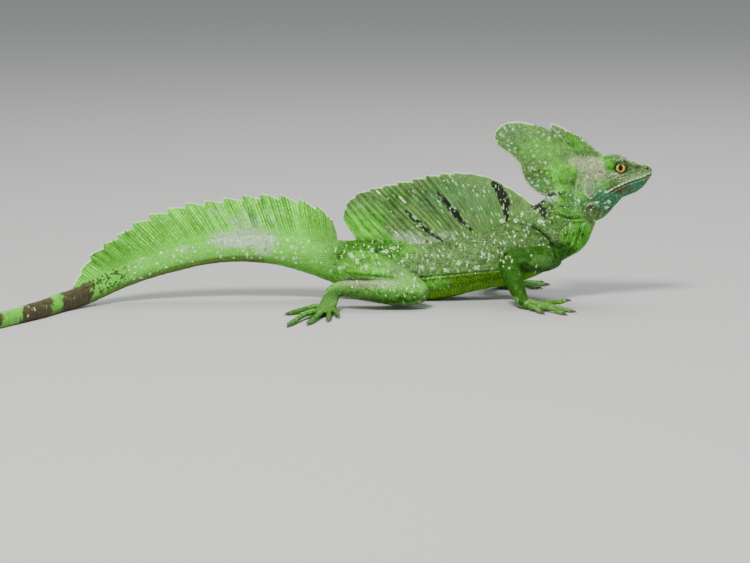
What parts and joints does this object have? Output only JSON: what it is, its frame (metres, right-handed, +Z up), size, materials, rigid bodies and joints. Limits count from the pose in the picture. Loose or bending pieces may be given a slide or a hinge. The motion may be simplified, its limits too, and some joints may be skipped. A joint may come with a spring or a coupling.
{
  "type": "plumed basilisk lizard model",
  "caption": "Life-size still model of a male plumed basilisk lying with its head raised, with sails on head, back and tail.",
  "frame": {"origin": "centre of the bounding box at ground level, below the tail's arch", "axes": "+X towards the snout, +Y to the animal's left, +Z up"},
  "size_m": [0.5912, 0.2614, 0.1104],
  "materials": {
    "skin": "satin scaled skin",
    "membrane": "satin skin stretched over rays",
    "iris": "gloss"
  },
  "bodies": {
    "root": {"head": "skin", "neck": "skin", "trunk": "skin", "tail_base": "skin", "tail_middle": "skin", "tail_rear": "skin", "tail_whip": "skin", "tail_tip": "skin", "upper_arm_left": "skin", "forearm_left": "skin", "hand_left": "skin", "thigh_left": "skin", "shank_left": "skin", "foot_left": "skin", "upper_arm_right": "skin", "forearm_right": "skin", "hand_right": "skin", "thigh_right": "skin", "shank_right": "skin", "foot_right": "skin", "back_sail": "membrane", "tail_sail": "membrane", "casque": "membrane", "brow_lobe": "membrane", "eye_left": "iris", "eye_right": "iris"}
  },
  "joints": []
}
